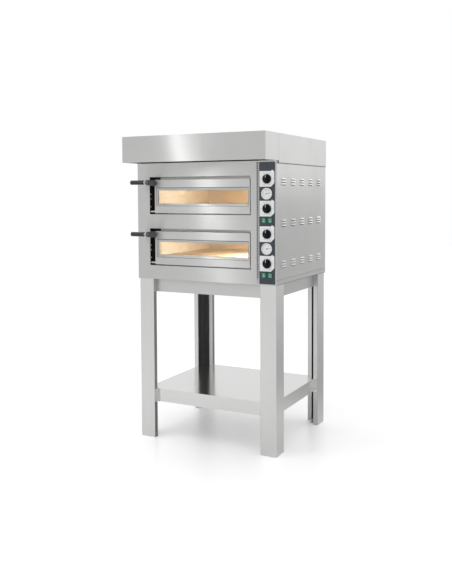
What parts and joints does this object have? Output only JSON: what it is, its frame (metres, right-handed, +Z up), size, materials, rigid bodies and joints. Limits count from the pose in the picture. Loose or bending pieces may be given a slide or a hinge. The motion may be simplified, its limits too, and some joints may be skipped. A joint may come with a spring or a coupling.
{
  "type": "pizza oven",
  "caption": "Twin-deck electric pizza oven in brushed steel with drop-down glazed doors, side levers and a control column, under a canopy hood, on a four-leg stand with a shelf.",
  "frame": {"origin": "centre of the stand's four foot holes, on the floor", "axes": "+Z up, +X to the right and +Y to the back as seen from the front, where the doors are"},
  "size_m": [0.7755, 0.812, 1.564],
  "materials": {
    "casing_steel": "brushed stainless sheet",
    "stand_steel": "satin stainless sheet",
    "door_steel": "brushed stainless sheet",
    "chamber_steel": "heat-tinted aluminised sheet",
    "fastener_steel": "bright zinc",
    "element_steel": "oxidised tube",
    "refractory": "fired refractory slab",
    "lamp_glass": "frosted glass",
    "window_glass": "clear toughened glass",
    "mineral_wool": "fibrous wool",
    "lever_paint": "satin powder coat",
    "grip_plastic": "moulded, fine grain",
    "panel_paint": "satin printed panel",
    "knob_plastic": "moulded, semi-gloss",
    "switch_plastic": "moulded, gloss",
    "rocker_plastic": "translucent moulded, gloss",
    "dial_case": "pressed case with a white dial",
    "dial_glass": "clear flat glass",
    "needle_paint": "satin",
    "gland_plastic": "moulded nylon",
    "regulator_plastic": "moulded"
  },
  "bodies": {
    "oven": {"back_panel": "casing_steel", "base_tray": "casing_steel", "cable_gland": "gland_plastic", "chamber_lower": "chamber_steel", "chamber_upper": "chamber_steel", "control_fascia": "panel_paint", "front_panel": "casing_steel", "hearth_stone_lower": "refractory", "hearth_stone_upper": "refractory", "heat_regulators": "regulator_plastic", "heaters_lower": "element_steel", "heaters_upper": "element_steel", "hinge_pins_lower": "fastener_steel", "hinge_pins_upper": "fastener_steel", "hood_shell": "casing_steel", "hood_visor": "casing_steel", "insulation": "mineral_wool", "lamp_lower": "lamp_glass", "lamp_upper": "lamp_glass", "leg_front_left": "stand_steel", "leg_front_right": "stand_steel", "leg_rear_left": "stand_steel", "leg_rear_right": "stand_steel", "rail_front": "stand_steel", "rail_left": "stand_steel", "rail_rear": "stand_steel", "rail_right": "stand_steel", "shelf": "stand_steel", "side_panel_left": "casing_steel", "side_panel_right": "casing_steel", "stand_bolts": "fastener_steel", "switch_housing_lower": "switch_plastic", "switch_housing_upper": "switch_plastic", "thermometer_case_lower": "dial_case", "thermometer_case_upper": "dial_case", "thermometer_glass_lower": "dial_glass", "thermometer_glass_upper": "dial_glass", "top_cover": "casing_steel"},
    "door_lower": {"door_frame_lower": "door_steel", "door_glass_lower": "window_glass", "door_liner_lower": "chamber_steel", "lever_lower": "lever_paint", "grip_bolt_lower": "fastener_steel", "grip_lower": "grip_plastic"},
    "knob_lower_floor": {"knob_lower_floor": "knob_plastic"},
    "knob_lower_ceiling": {"knob_lower_ceiling": "knob_plastic"},
    "rocker_lower_left": {"rocker_lower_left": "rocker_plastic"},
    "rocker_lower_right": {"rocker_lower_right": "rocker_plastic"},
    "needle_lower": {"needle_lower": "needle_paint"},
    "door_upper": {"door_frame_upper": "door_steel", "door_glass_upper": "window_glass", "door_liner_upper": "chamber_steel", "lever_upper": "lever_paint", "grip_bolt_upper": "fastener_steel", "grip_upper": "grip_plastic"},
    "knob_upper_floor": {"knob_upper_floor": "knob_plastic"},
    "knob_upper_ceiling": {"knob_upper_ceiling": "knob_plastic"},
    "rocker_upper_left": {"rocker_upper_left": "rocker_plastic"},
    "rocker_upper_right": {"rocker_upper_right": "rocker_plastic"},
    "needle_upper": {"needle_upper": "needle_paint"}
  },
  "joints": [
    {"name": "door_lower_hinge", "type": "hinge", "parent": "oven", "child": "door_lower", "pos_m": [-0.0175, -0.32, 0.902], "axis": [1, 0, 0], "range_deg": [0, 90]},
    {"name": "knob_lower_floor_turn", "type": "hinge", "parent": "oven", "child": "knob_lower_floor", "pos_m": [0.3365, -0.34, 0.9205], "axis": [0, 1, 0], "range_deg": [0, 300]},
    {"name": "knob_lower_ceiling_turn", "type": "hinge", "parent": "oven", "child": "knob_lower_ceiling", "pos_m": [0.3365, -0.34, 1.059], "axis": [0, 1, 0], "range_deg": [0, 300]},
    {"name": "rocker_lower_left_tilt", "type": "hinge", "parent": "oven", "child": "rocker_lower_left", "pos_m": [0.32025, -0.3315, 0.8655], "axis": [1, 0, 0], "range_deg": [-18, 0]},
    {"name": "rocker_lower_right_tilt", "type": "hinge", "parent": "oven", "child": "rocker_lower_right", "pos_m": [0.35275, -0.3315, 0.8655], "axis": [1, 0, 0], "range_deg": [-18, 0]},
    {"name": "needle_lower_turn", "type": "hinge", "parent": "oven", "child": "needle_lower", "pos_m": [0.3365, -0.335, 0.99], "axis": [0, 1, 0], "range_deg": [-213, 57], "stiffness_Nm_per_rad": 0.001},
    {"name": "door_upper_hinge", "type": "hinge", "parent": "oven", "child": "door_upper", "pos_m": [-0.0175, -0.32, 1.16], "axis": [1, 0, 0], "range_deg": [0, 90]},
    {"name": "knob_upper_floor_turn", "type": "hinge", "parent": "oven", "child": "knob_upper_floor", "pos_m": [0.3365, -0.34, 1.1785], "axis": [0, 1, 0], "range_deg": [0, 300]},
    {"name": "knob_upper_ceiling_turn", "type": "hinge", "parent": "oven", "child": "knob_upper_ceiling", "pos_m": [0.3365, -0.34, 1.317], "axis": [0, 1, 0], "range_deg": [0, 300]},
    {"name": "rocker_upper_left_tilt", "type": "hinge", "parent": "oven", "child": "rocker_upper_left", "pos_m": [0.32025, -0.3315, 1.1235], "axis": [1, 0, 0], "range_deg": [-18, 0]},
    {"name": "rocker_upper_right_tilt", "type": "hinge", "parent": "oven", "child": "rocker_upper_right", "pos_m": [0.35275, -0.3315, 1.1235], "axis": [1, 0, 0], "range_deg": [-18, 0]},
    {"name": "needle_upper_turn", "type": "hinge", "parent": "oven", "child": "needle_upper", "pos_m": [0.3365, -0.335, 1.248], "axis": [0, 1, 0], "range_deg": [-213, 57], "stiffness_Nm_per_rad": 0.001}
  ]
}
